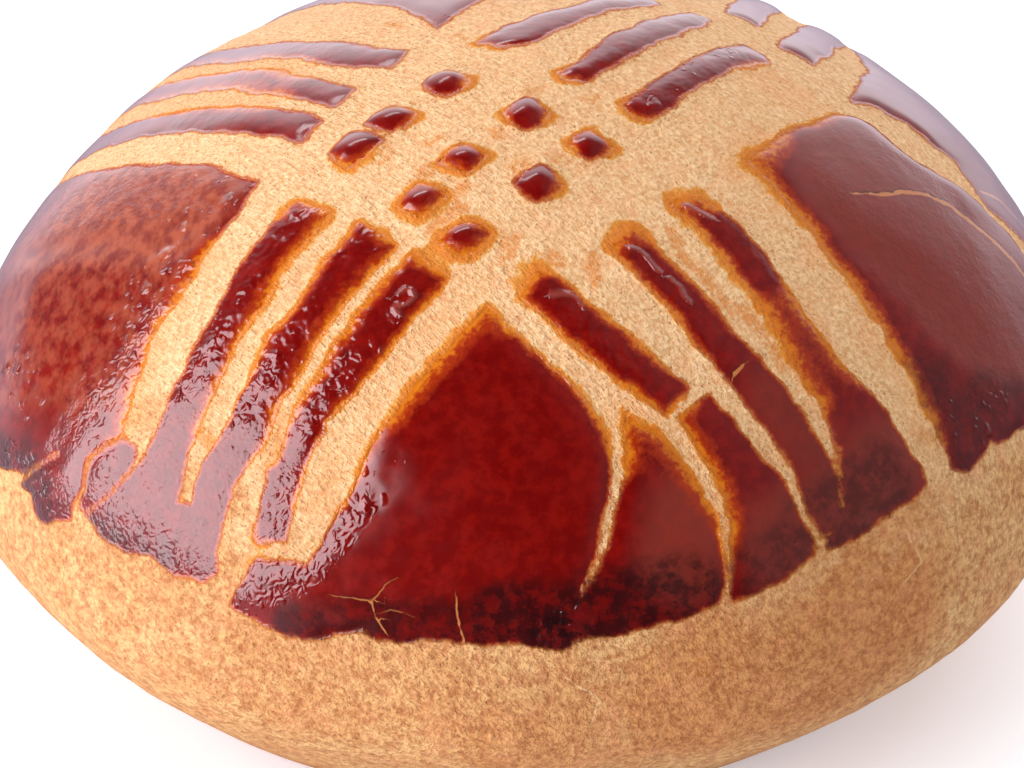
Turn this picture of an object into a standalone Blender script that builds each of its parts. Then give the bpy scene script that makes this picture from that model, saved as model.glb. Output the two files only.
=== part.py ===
"""A round glossy bread bun, fork-scored in a cross and standing on its flat underside.

All sizes are in millimetres until the last step, which scales the mesh to metres. The crust is
described by two co-ordinates that lie on it: u to the right and v away from the front, both
measured along the crust from the middle of the crown.
"""
import math

import bpy
import numpy as np
from mathutils import Vector, noise

MM = 0.001

# The body: a domed crown above the widest ring and a tapered lower part below it.
WIDEST_RADIUS = 50.0
CROWN_HEIGHT = 36.9
CROWN_SIDE_POWER = 1.79
CROWN_TOP_POWER = 1.87
LOWER_HEIGHT = 19.0
LOWER_TAPER = 0.251
LOWER_EASE = 0.2
UNDERSIDE_ROUNDING = 8.0
PROFILE_STEPS = 400

# The bun is a little wider than deep, slightly uneven, and leans to the right.
OVAL_X = 0.026
OVAL_DIAGONAL = -0.004
LOBE_X = -0.004
LOBE_Y = -0.011
LEAN_X = 0.061
LEAN_Y = -0.026

# Low swells of the baked dough.
SWELL_SIZE = 17.0
SWELL_HEIGHT = 0.45
SWELL_SEED = Vector((3.1, 7.7, 1.3))

# Egg-washed crust stands above the bare dough that the fork laid open.
CRUST_LIFT = 0.5
CRUST_SHOULDER = 0.9
CRUST_BULGE = 0.4
BULGE_WIDTH = 1.3

# Nine small lozenges left where the two fork strokes cross: middle, half width, half depth.
LOZENGES = (
    (-8.4, -2.9, 2.3, 2.1),
    (-12.8, -6.8, 2.3, 2.0),
    (-16.0, -9.4, 2.4, 2.3),
    (-1.6, -8.3, 2.2, 2.3),
    (-7.2, -13.3, 2.1, 2.1),
    (-10.8, -17.0, 2.4, 2.2),
    (4.0, -11.8, 2.2, 2.0),
    (-0.5, -16.6, 2.1, 2.1),
    (-6.9, -21.9, 2.7, 2.2),
)

# Strips of crust between the tine marks: width at the start and end, then the middle line.
STRIPS = (
    (2.3, 2.6, ((-12.6, 2.2), (-18.9, 6.3), (-31.0, 17.6), (-41.0, 31.0))),
    (2.4, 2.6, ((-17.3, -2.2), (-27.1, 7.0), (-34.9, 13.9), (-47.0, 27.5))),
    (2.6, 2.8, ((-20.0, -5.9), (-32.2, 3.5), (-41.5, 10.9), (-54.0, 23.5))),
    (2.4, 2.4, ((-4.4, 2.9), (-0.8, 5.8), (9.8, 12.6), (13.0, 17.0))),
    (2.5, 2.4, ((1.8, -3.4), (9.6, 5.2), (15.2, 12.4))),
    (2.5, 2.4, ((7.9, -7.6), (10.0, -3.9), (19.8, 6.9))),
    (3.2, 3.6, ((-20.2, -15.4), (-26.6, -22.0), (-31.8, -29.0), (-36.8, -38.0))),
    (3.2, 3.6, ((-14.5, -19.8), (-22.3, -28.0), (-28.9, -37.0), (-31.6, -42.4))),
    (3.3, 3.0, ((-10.1, -24.2), (-18.6, -33.2), (-23.3, -39.6), (-25.6, -45.8))),
    (2.9, 2.8, ((-0.9, -26.7), (3.6, -30.2), (12.3, -36.0))),
    (2.6, 2.8, ((7.0, -21.6), (16.0, -30.2), (26.0, -38.4), (28.7, -43.6))),
    (3.0, 6.4, ((12.4, -16.6), (17.9, -19.9), (25.0, -28.8), (32.2, -37.8))),
    (3.0, 3.0, ((19.0, 15.0), (21.5, 23.0), (24.5, 31.0))),
    (3.4, 3.4, ((23.8, 9.8), (26.5, 16.0), (31.5, 31.0))),
)

# Broad glazed fields between the arms of the cross, each as its outline.
FIELDS = {
    "left": (
        (-24.7, -10.4), (-37.7, 0.4), (-48.9, 11.0), (-56.5, 18.5), (-60.5, 8.0), (-61.0, -6.0),
        (-55.7, -23.7), (-50.3, -27.8), (-50.1, -33.6), (-45.0, -34.6), (-44.8, -37.9),
        (-37.1, -44.2), (-31.3, -47.1), (-30.3, -42.8), (-35.3, -39.3), (-38.0, -33.6),
        (-38.3, -28.4), (-34.8, -21.8), (-30.0, -16.3),
    ),
    "front": (
        (-5.0, -29.0), (-14.9, -39.6), (-16.5, -42.5), (-21.8, -48.8), (-26.8, -47.5),
        (-29.7, -50.3), (-24.9, -54.3), (-15.3, -56.4), (-2.9, -57.8), (3.8, -58.1),
        (11.9, -55.4), (18.6, -52.1), (17.4, -45.3), (7.6, -37.7), (8.3, -42.5), (5.7, -52.0),
        (6.7, -45.0), (6.2, -39.6), (-2.4, -31.5),
    ),
    "right": (
        (17.6, -10.6), (28.1, -20.4), (38.1, -30.7), (40.5, -32.9), (48.4, -24.5),
        (56.0, -12.0), (57.0, -2.0), (53.0, 0.5), (32.9, 0.6), (27.1, 0.4), (21.9, -4.9),
    ),
    "front right": (
        (12.9, -37.7), (19.3, -45.4), (20.1, -51.6), (27.8, -45.8), (24.9, -43.0),
        (14.8, -35.5),
    ),
    "third strip end": (
        (26.9, -34.0), (29.0, -45.0), (31.9, -42.7), (37.7, -36.0), (31.0, -31.0),
    ),
    "flake": (
        (42.0, 3.1), (50.0, 0.9), (56.0, 3.5), (55.0, 6.6), (45.0, 4.3),
    ),
    "far right": (
        (29.5, 5.6), (39.6, 4.7), (56.5, 10.0), (51.0, 29.5), (37.0, 45.5), (29.0, 50.5),
        (27.0, 44.0), (33.5, 31.0), (32.3, 14.0),
    ),
    "back": (
        (-9.4, 7.2), (-17.0, 18.5), (-39.5, 45.5), (-30.0, 51.5), (-8.0, 58.5), (4.0, 58.8),
        (24.5, 52.8), (12.5, 36.0), (-4.5, 13.5),
    ),
    "back left rim": (
        (-57.5, 19.5), (-49.0, 36.5), (-42.0, 44.0), (-40.0, 33.0), (-48.0, 25.0),
        (-55.0, 18.5),
    ),
}

# Mesh density before and after thinning; the icosphere's edges are about 0.4 mm on the bun.
SPHERE_SUBDIVISIONS = 8
FULL_TRIANGLES = 20 * 4 ** (SPHERE_SUBDIVISIONS - 1)
KEPT_TRIANGLES = 11400

CRUST_COLOUR = (0.52, 0.2, 0.05, 1.0)
CRUST_ROUGHNESS = 0.35


def clear_scene():
    """Remove the objects of the start-up scene."""
    for item in list(bpy.data.objects):
        bpy.data.objects.remove(item, do_unlink=True)


def half_outline():
    """Return radius and height from the crown's middle down to the middle of the underside."""
    turn = np.linspace(math.pi / 2, 0.0, PROFILE_STEPS)
    crown_r = WIDEST_RADIUS * np.cos(turn) ** (2 / CROWN_SIDE_POWER)
    crown_z = CROWN_HEIGHT * np.sin(turn) ** (2 / CROWN_TOP_POWER)
    crown_r[0] = 0.0
    full_ease = math.hypot(1.0, LOWER_EASE) - LOWER_EASE
    slope = math.atan(LOWER_TAPER * WIDEST_RADIUS / full_ease / LOWER_HEIGHT)
    end = 1.0 - UNDERSIDE_ROUNDING * (1 - math.sin(slope)) / LOWER_HEIGHT
    fall = np.linspace(0.0, end, PROFILE_STEPS // 2)[1:]
    eased = (np.hypot(fall, LOWER_EASE) - LOWER_EASE) / full_ease
    side_r = WIDEST_RADIUS * (1 - LOWER_TAPER * eased)
    side_z = -LOWER_HEIGHT * fall
    arc = np.linspace(slope, math.pi / 2, PROFILE_STEPS // 8)[1:]
    round_r = side_r[-1] + UNDERSIDE_ROUNDING * (np.cos(arc) - math.cos(slope))
    round_z = UNDERSIDE_ROUNDING * (1 - np.sin(arc)) - LOWER_HEIGHT
    flat_r = np.linspace(round_r[-1], 0.0, PROFILE_STEPS // 4)[1:]
    flat_z = np.full(flat_r.shape, -LOWER_HEIGHT)
    radius = np.concatenate((crown_r, side_r, round_r, flat_r))
    height = np.concatenate((crown_z, side_z, round_z, flat_z))
    return radius, height


def offset_strip(start_width, end_width, line):
    """Return the outline of a strip of crust that follows a line."""
    line = np.array(line)
    along = np.gradient(line, axis=0)
    along /= np.linalg.norm(along, axis=1)[:, None]
    across = np.stack((-along[:, 1], along[:, 0]), axis=1)
    half = np.linspace(start_width, end_width, len(line))[:, None] / 2
    return np.concatenate((line + across * half, (line - across * half)[::-1]))


def crust_outlines():
    """Return the outlines of every glazed area in crust co-ordinates."""
    outlines = []
    for u, v, half_width, half_depth in LOZENGES:
        corners = ((-half_width, 0), (0, half_depth), (half_width, 0), (0, -half_depth))
        outlines.append(np.array(corners) + (u, v))
    for start_width, end_width, line in STRIPS:
        outlines.append(offset_strip(start_width, end_width, line))
    for corners in FIELDS.values():
        outlines.append(np.array(corners))
    return outlines


def depth_inside(outline, u, v):
    """Return the distance to an outline, positive inside it and negative outside."""
    nearest = np.full(u.shape, np.inf)
    inside = np.zeros(u.shape, dtype=bool)
    for (u0, v0), (u1, v1) in zip(outline, np.roll(outline, -1, axis=0)):
        du = u1 - u0
        dv = v1 - v0
        part = np.clip(((u - u0) * du + (v - v0) * dv) / (du * du + dv * dv), 0.0, 1.0)
        gap = (u - u0 - part * du) ** 2 + (v - v0 - part * dv) ** 2
        nearest = np.minimum(nearest, gap)
        if dv != 0:
            crosses = ((v0 > v) != (v1 > v)) & (u < u0 + (v - v0) * du / dv)
            inside ^= crosses
    return np.where(inside, 1, -1) * np.sqrt(nearest)


def smooth_rise(value):
    """Ease from 0 to 1 as the value goes from 0 to 1."""
    value = np.clip(value, 0.0, 1.0)
    return value * value * (3 - 2 * value)


def crust_lift(u, v):
    """Return how far the crust stands above the bare dough at each place."""
    depth = np.full(u.shape, -np.inf)
    for outline in crust_outlines():
        depth = np.maximum(depth, depth_inside(outline, u, v))
    step = CRUST_LIFT * smooth_rise(0.5 + depth / CRUST_SHOULDER)
    bulge = CRUST_BULGE * (1 - np.exp(-np.maximum(depth, 0.0) / BULGE_WIDTH))
    return step + bulge


def bun_points(directions):
    """Map unit directions to points of the finished crust, in millimetres."""
    radius, height = half_outline()
    steps = np.hypot(np.diff(radius), np.diff(height))
    reach = np.concatenate(([0.0], np.cumsum(steps)))
    along = np.arccos(np.clip(directions[:, 2], -1.0, 1.0)) * reach[-1] / math.pi
    angle = np.arctan2(directions[:, 1], directions[:, 0])
    r = np.interp(along, reach, radius)
    z = np.interp(along, reach, height)
    out_r = -np.interp(along, reach, np.gradient(height, reach))
    out_z = np.interp(along, reach, np.gradient(radius, reach))

    lift = crust_lift(along * np.cos(angle), along * np.sin(angle))
    swell = np.empty(len(r))
    for index, (x, y, tall) in enumerate(zip(r * np.cos(angle), r * np.sin(angle), z)):
        spot = Vector((x, y, tall)) / SWELL_SIZE + SWELL_SEED
        swell[index] = SWELL_HEIGHT * noise.noise(spot)
    above_base = smooth_rise((z + LOWER_HEIGHT) / (2 * UNDERSIDE_ROUNDING))
    lift = (lift + swell) * above_base
    r = r + out_r * lift
    z = z + out_z * lift

    oval = 1 + OVAL_X * np.cos(2 * angle) + OVAL_DIAGONAL * np.sin(2 * angle)
    oval = oval + LOBE_X * np.cos(3 * angle) + LOBE_Y * np.sin(3 * angle)
    x = r * oval * np.cos(angle) + LEAN_X * z
    y = r * oval * np.sin(angle) + LEAN_Y * z
    return np.stack((x, y, z + LOWER_HEIGHT), axis=1)


def make_bun(collection):
    """Build the bun as one closed solid standing on its flat underside."""
    bpy.ops.mesh.primitive_ico_sphere_add(subdivisions=SPHERE_SUBDIVISIONS, radius=1.0)
    bun = bpy.context.object
    bun.name = "bun"
    bun.data.name = "bun"
    count = len(bun.data.vertices)
    directions = np.empty(count * 3)
    bun.data.vertices.foreach_get("co", directions)
    points = bun_points(directions.reshape(count, 3))
    middle = (points.min(axis=0) + points.max(axis=0)) / 2
    points -= (middle[0], middle[1], 0.0)
    points[:, 2] = np.maximum(points[:, 2], 0.0)
    bun.data.vertices.foreach_set("co", (points * MM).ravel())
    bun.data.update()
    bun.data.shade_smooth()
    thin = bun.modifiers.new("thin out triangles", "DECIMATE")
    thin.decimate_type = "COLLAPSE"
    thin.ratio = KEPT_TRIANGLES / FULL_TRIANGLES
    thin.use_collapse_triangulate = True
    for owner in list(bun.users_collection):
        owner.objects.unlink(bun)
    collection.objects.link(bun)
    return bun


def crust_material():
    """Return the glossy brown of baked egg wash."""
    material = bpy.data.materials.new("baked crust")
    material.use_nodes = True
    shader = material.node_tree.nodes["Principled BSDF"]
    shader.inputs["Base Color"].default_value = CRUST_COLOUR
    shader.inputs["Roughness"].default_value = CRUST_ROUGHNESS
    return material


def main():
    """Build the scored bun in its own collection."""
    clear_scene()
    collection = bpy.data.collections.new("pogaca")
    bpy.context.scene.collection.children.link(collection)
    bun = make_bun(collection)
    bun.data.materials.append(crust_material())


main()
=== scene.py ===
"""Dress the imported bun: a fork-scored pogaca with a glossy egg-washed crust on bare dough.

Sizes are in millimetres until a mesh is written. The crust is described by two co-ordinates that
lie on it: u to the right and v away from the front, measured along the crust from the crown.
"""
import math

import bpy
import numpy as np
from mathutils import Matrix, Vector, noise


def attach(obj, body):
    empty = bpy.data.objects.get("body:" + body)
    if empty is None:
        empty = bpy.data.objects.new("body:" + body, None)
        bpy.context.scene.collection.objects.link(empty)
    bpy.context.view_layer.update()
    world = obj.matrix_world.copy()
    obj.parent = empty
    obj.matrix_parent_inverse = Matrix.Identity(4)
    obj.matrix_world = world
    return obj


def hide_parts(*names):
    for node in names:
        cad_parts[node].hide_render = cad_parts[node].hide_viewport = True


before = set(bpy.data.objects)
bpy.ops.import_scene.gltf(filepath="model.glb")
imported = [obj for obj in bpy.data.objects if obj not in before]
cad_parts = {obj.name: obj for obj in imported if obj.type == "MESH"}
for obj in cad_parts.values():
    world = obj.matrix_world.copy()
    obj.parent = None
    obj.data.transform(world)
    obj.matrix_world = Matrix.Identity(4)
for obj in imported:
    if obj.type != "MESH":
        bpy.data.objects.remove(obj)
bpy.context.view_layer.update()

MM = 0.001

# The body, with the same sizes as the solid that it dresses.
WIDEST_RADIUS = 50.0
CROWN_HEIGHT = 36.9
CROWN_SIDE_POWER = 1.79
CROWN_TOP_POWER = 1.87
LOWER_HEIGHT = 19.0
LOWER_TAPER = 0.251
LOWER_EASE = 0.3
UNDERSIDE_ROUNDING = 8.0
PROFILE_STEPS = 400
OVAL_X = 0.026
OVAL_DIAGONAL = -0.004
LOBE_X = -0.004
LOBE_Y = -0.011
LEAN_X = 0.061
LEAN_Y = -0.026
SWELL_SIZE = 17.0
SWELL_HEIGHT = 0.45
SWELL_SEED = Vector((3.1, 7.7, 1.3))

# How the crust stands above the bare dough, and how ragged its edge is.
CRUST_SPREAD = 0.3
CRUST_LIFT = 0.2
CRUST_SHOULDER = 0.8
CRUST_BULGE = 0.16
BULGE_WIDTH = 1.0
SATIN_FLATNESS = 0.6
LOZENGE_BULGE = 0.4
LIFT_SMOOTHING = 6
EDGE_WANDER = ((4.2, 0.45), (1.5, 0.32))

# How deep in the wash, and how far outside it, the distance to its edge is kept.
DEEPEST_MARK = 6.0
FARTHEST_MARK = 4.0

# Lumps of the crust and of the bare dough: height, size and seed.
CRUST_LUMPS = ((0.1, 7.0, 21), (0.05, 3.3, 22))
BLISTER_LUMPS = (0.1, 1.4, 23)
DOUGH_LUMPS = ((0.1, 2.6, 24), (0.06, 1.2, 25))

# How far past its ends a fine line still fades, and how far from it its distance is kept.
HAIRLINE_TAPER = 0.6
FINE_LINE_REACH = 5.0

# The screen colour of thin egg wash.
AMBER = (202, 113, 22)

# The dough's fibres: how they turn in plan, and their size across, along and upright.
FIBRE_TURN = math.radians(45.0)
FIBRE_SIZE = (0.35, 1.3, 0.45)

# Rings of the mesh: how far each zone reaches along the crust, and its number of rings.
CROWN_REACH = 39.6
CROWN_RINGS = 88
WALL_REACH = 62.5
WALL_RINGS = 50
LOWER_RINGS = 30
UNDERSIDE_RINGS = 8

# Nine small lozenges where the fork strokes cross: middle, half width, half depth.
LOZENGES = (
    (-8.4, -2.9, 1.9, 1.7),
    (-12.8, -6.8, 1.9, 1.6),
    (-16.0, -9.4, 2.1, 1.9),
    (-1.6, -8.3, 1.8, 1.8),
    (-7.2, -13.3, 1.7, 1.7),
    (-10.8, -17.0, 1.9, 1.8),
    (4.0, -11.8, 1.8, 1.6),
    (-0.5, -16.6, 1.8, 1.8),
    (-6.9, -21.9, 2.2, 1.8),
)
LOZENGE_OUTLINE = (
    (-1.0, 0.0), (-0.52, 0.6), (0.0, 0.94), (0.52, 0.6),
    (1.0, 0.0), (0.52, -0.6), (0.0, -0.94), (-0.52, -0.6),
)

# Strips of crust between the tine marks: width at the start and end, then the middle line.
STRIPS = (
    (2.3, 2.6, ((-12.6, 2.2), (-15.6, 3.7), (-18.9, 6.3), (-25.5, 12.2), (-31.0, 17.6), (-41.0, 31.0))),
    (2.4, 2.6, ((-17.3, -2.2), (-20.9, 1.0), (-27.1, 7.0), (-34.9, 13.9), (-47.0, 27.5))),
    (2.6, 2.8, ((-20.0, -5.9), (-23.9, -2.5), (-32.2, 3.5), (-41.5, 10.9), (-54.0, 23.5))),
    (3.0, 2.9, ((-0.9, -26.7), (3.6, -30.2), (8.6, -33.8), (12.3, -36.0))),
    (2.9, 3.5, ((7.0, -21.6), (11.0, -25.3), (16.0, -30.2), (21.4, -34.4), (25.8, -38.6), (28.5, -43.7))),
    (3.0, 3.0, ((19.0, 15.0), (21.5, 23.0), (24.5, 31.0))),
    (3.4, 3.4, ((23.8, 9.8), (26.5, 16.0), (29.5, 24.0), (31.5, 31.0))),
)

# Areas of crust with shapes of their own, each as its outline.
FIELDS = {
    "far middle strip 1": (
        (-5.5, 2.8), (-4.2, 1.9), (-2.4, 1.9), (-0.4, 3.1), (2.2, 5.6), (5.4, 9.0), (8.2, 11.0),
        (10.4, 12.9), (10.0, 13.5), (5.9, 12.2), (4.1, 10.5), (1.6, 8.4), (-1.1, 6.8), (-3.5, 4.9),
    ),
    "far middle strip 2": (
        (1.1, -2.5), (1.8, -3.5), (3.5, -3.4), (4.5, -2.1), (6.2, -0.4), (8.5, 2.3), (10.9, 4.9),
        (12.8, 7.4), (14.5, 9.4), (15.3, 11.2), (14.8, 11.7), (14.0, 11.9), (11.8, 9.5), (9.4, 7.0),
        (7.0, 4.1), (4.7, 1.2), (2.5, -1.5),
    ),
    "far middle strip 3": (
        (6.8, -6.2), (7.7, -7.2), (9.0, -7.5), (10.2, -6.3), (11.3, -4.3), (13.6, -1.2), (16.1, 1.7),
        (18.4, 3.9), (20.1, 5.5), (19.8, 6.4), (18.1, 6.8), (15.8, 4.9), (13.8, 2.6), (11.9, 0.1),
        (9.8, -2.3), (7.9, -4.5),
    ),
    "near left strip 1": (
        (-21.6, -14.3), (-24.6, -17.9), (-28.1, -22.5), (-31.6, -27.4), (-34.8, -32.0), (-38.6, -36.3),
        (-38.0, -39.4), (-35.4, -40.6), (-32.6, -34.8), (-29.7, -30.2), (-26.1, -25.8), (-22.8, -21.2),
        (-18.7, -16.4),
    ),
    "near left strip 2": (
        (-15.9, -18.4), (-20.0, -23.2), (-24.1, -28.2), (-27.8, -33.6), (-31.8, -38.4), (-33.0, -42.0),
        (-30.0, -42.6), (-28.1, -39.4), (-25.2, -36.3), (-22.0, -31.5), (-18.3, -27.4), (-13.1, -21.3),
    ),
    "near left strip 3": (
        (-11.4, -22.8), (-16.2, -27.7), (-21.2, -33.4), (-24.4, -37.0), (-25.4, -41.5), (-26.6, -45.4),
        (-23.8, -46.2), (-22.6, -43.0), (-20.9, -39.4), (-19.4, -36.8), (-15.2, -33.1), (-8.7, -25.6),
    ),
    "near right strip 3": (
        (11.3, -17.0), (14.2, -19.4), (16.8, -22.0), (18.9, -24.9), (23.7, -31.0), (26.7, -34.0),
        (28.3, -37.0), (29.3, -41.0), (29.0, -44.9), (31.9, -42.7), (36.2, -37.9), (37.7, -36.0),
        (33.8, -33.0), (27.2, -29.0), (21.2, -23.6), (19.1, -20.3), (16.8, -17.9), (13.6, -16.0),
    ),
    "near right strip 1 end": (
        (12.9, -37.7), (16.7, -41.1), (19.3, -45.4), (20.1, -51.6), (24.6, -48.9), (28.0, -45.6),
        (25.3, -42.6), (21.4, -40.1), (15.2, -35.2),
    ),
    "left": (
        (-24.7, -10.4), (-29.4, -6.1), (-37.7, 0.4), (-43.2, 5.0), (-48.9, 11.0), (-56.5, 18.5),
        (-60.5, 8.0), (-61.0, -6.0), (-59.0, -17.0), (-55.7, -23.7), (-52.4, -26.6), (-50.3, -27.8),
        (-52.2, -28.6), (-51.0, -30.2), (-51.2, -31.8), (-50.1, -33.6), (-46.6, -35.2), (-44.8, -34.5),
        (-43.6, -38.8), (-40.6, -41.2), (-38.2, -42.2), (-35.6, -45.4), (-32.7, -46.8), (-31.3, -46.8),
        (-31.2, -45.0), (-30.3, -42.8), (-32.0, -40.5), (-35.3, -39.3), (-37.4, -36.3), (-37.8, -33.6),
        (-39.6, -31.0), (-38.3, -28.4), (-36.0, -24.6), (-34.8, -21.8), (-30.9, -18.3), (-30.0, -16.3),
        (-26.3, -12.9),
    ),
    "front": (
        (-5.0, -29.0), (-9.6, -33.9), (-14.9, -39.6), (-16.5, -42.5), (-20.1, -47.6), (-21.8, -48.8),
        (-26.8, -47.3), (-29.9, -50.2), (-27.8, -52.2), (-24.9, -54.4), (-22.5, -55.4), (-16.8, -55.4),
        (-15.3, -56.4), (-9.6, -57.1), (-2.9, -57.8), (3.8, -58.1), (5.7, -57.1), (11.9, -55.4),
        (15.3, -54.2), (18.6, -52.1), (18.5, -49.0), (17.4, -45.3), (15.8, -43.6), (10.5, -39.4),
        (7.6, -37.7), (8.5, -42.5), (7.4, -49.2), (5.7, -52.0), (6.7, -45.0), (6.2, -39.6),
        (2.4, -35.8), (-2.4, -31.5),
    ),
    "right": (
        (17.6, -10.6), (22.4, -15.1), (28.1, -20.4), (33.4, -25.7), (38.1, -30.7), (40.5, -32.9),
        (42.4, -32.2), (44.4, -28.3), (46.3, -27.4), (48.4, -24.5), (52.5, -21.0), (56.0, -12.0),
        (57.0, -5.0), (52.0, -3.8), (47.9, -3.0), (44.1, -2.3), (40.0, -1.1), (35.9, -1.9),
        (32.4, -0.6), (29.2, 1.1), (27.1, 0.4), (21.9, -4.9),
    ),
    "far right": (
        (29.1, 5.0), (32.0, 5.7), (34.9, 5.4), (37.7, 4.1), (40.5, 4.1), (42.3, 1.8), (43.6, -0.1),
        (46.4, -0.4), (49.1, -0.1), (56.5, 0.6), (58.0, 10.0), (55.0, 20.0), (51.0, 29.5),
        (44.5, 38.5), (37.0, 45.5), (29.0, 50.5), (27.0, 44.0), (30.5, 38.0), (33.5, 31.0),
        (33.0, 22.0), (32.3, 14.0),
    ),
    "back": (
        (-9.4, 7.2), (-12.5, 13.1), (-17.0, 18.5), (-23.0, 26.0), (-30.0, 34.0), (-37.5, 42.0),
        (-39.5, 45.5), (-30.0, 51.5), (-19.0, 56.0), (-8.0, 58.5), (4.0, 58.8), (15.0, 57.0),
        (24.5, 52.8), (19.0, 44.0), (12.5, 36.0), (6.0, 27.5), (0.0, 19.5), (-4.5, 13.5), (-7.0, 10.8),
    ),
    "back left rim": (
        (-57.5, 19.5), (-54.5, 28.0), (-49.0, 36.5), (-42.0, 44.0), (-39.0, 39.0), (-40.0, 33.0),
        (-43.5, 29.0), (-48.0, 25.0), (-51.5, 21.0), (-55.0, 18.5),
    ),
}

# Raised curls in the wash, which also carry a painted highlight tint: width at the start and end, then the
# line.
CURLS = (
    (0.3, 0.3, ((0.4, -27.85), (1.6, -27.65), (3.0, -27.95), (3.5, -28.7))),
    (0.3, 0.3, ((7.65, -22.55), (8.55, -22.8), (9.5, -23.6), (10.0, -24.5))),
    (0.3, 0.3, ((11.05, -24.8), (12.0, -25.6), (12.2, -26.5), (12.7, -27.2))),
    (0.35, 0.3, ((12.6, -17.0), (13.5, -17.3), (14.55, -17.9))),
    (0.25, 0.25, ((-12.55, -26.35), (-11.9, -25.9), (-11.3, -26.1), (-11.2, -26.9), (-11.9, -27.4))),
    (0.25, 0.35, ((-12.3, -27.3), (-12.7, -27.3), (-12.85, -27.8), (-12.5, -28.3))),
)

# Cracks wide enough to bare the dough: width at the start and end, then the line.
CRACKS = (
    (0.6, 0.3, ((-53.0, -28.1), (-50.0, -28.3), (-46.6, -29.2))),
    (0.8, 0.3, ((-46.0, -35.2), (-44.3, -33.6), (-43.3, -31.9), (-40.9, -31.0), (-38.4, -31.2))),
    (0.3, 0.6, ((-45.2, -36.1), (-43.5, -35.9), (-39.6, -34.9), (-37.0, -33.9))),
    (1.7, 0.8, ((7.1, -38.0), (7.5, -41.0), (7.4, -44.6), (6.7, -48.2), (5.9, -51.9))),
    (0.6, 0.3, ((5.9, -51.7), (5.2, -53.4))),
    (1.3, 0.8, ((22.6, -39.2), (24.5, -41.3), (26.7, -44.1), (28.4, -46.0))),
    (0.5, 0.3, ((28.0, -36.4), (28.6, -39.2), (29.3, -41.0))),
    (1.5, 2.0, ((-13.8, -23.6), (-19.0, -29.6), (-22.6, -34.2), (-24.6, -38.4))),
    (1.6, 0.8, ((-34.4, -28.4), (-36.6, -31.6), (-37.6, -33.8))),
)

# Hairline cracks, and raised fibres on the bare dough, drawn as pale lines; on the bare dough these pale
# lines are painted highlights.
HAIRLINES = (
    (0.2, 0.45, ((27.2, -10.5), (29.6, -9.3), (31.7, -7.9), (35.4, -5.9), (39.4, -5.4))),
    (0.45, 0.6, ((39.4, -5.4), (43.6, -6.1), (48.3, -6.3), (54.0, -7.4))),
    (0.3, 0.4, ((43.2, 1.6), (46.0, 3.2), (49.6, 3.4), (54.0, 5.0))),
    (0.3, 0.15, ((17.2, -32.8), (18.1, -31.5))),
    (0.05, 0.2, ((-7.4, -53.6), (-6.9, -55.4), (-6.6, -57.6))),
    (0.04, 0.09, ((-19.6, -51.9), (-17.2, -52.6), (-15.6, -53.0), (-15.4, -54.6), (-14.4, -56.0))),
    (0.06, 0.03, ((-15.6, -53.0), (-14.2, -51.8), (-12.8, -51.6))),
    (0.03, 0.05, ((-15.4, -54.6), (-13.4, -54.0), (-11.6, -54.8))),
    (0.12, 0.1, ((4.4, -60.9), (7.2, -62.2), (8.6, -63.2), (7.9, -65.6))),
    (0.1, 0.1, ((36.8, -40.7), (40.3, -42.2), (38.4, -45.8))),
    (0.15, 0.25, ((-56.0, 11.0), (-58.5, 8.0))),
)

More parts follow.
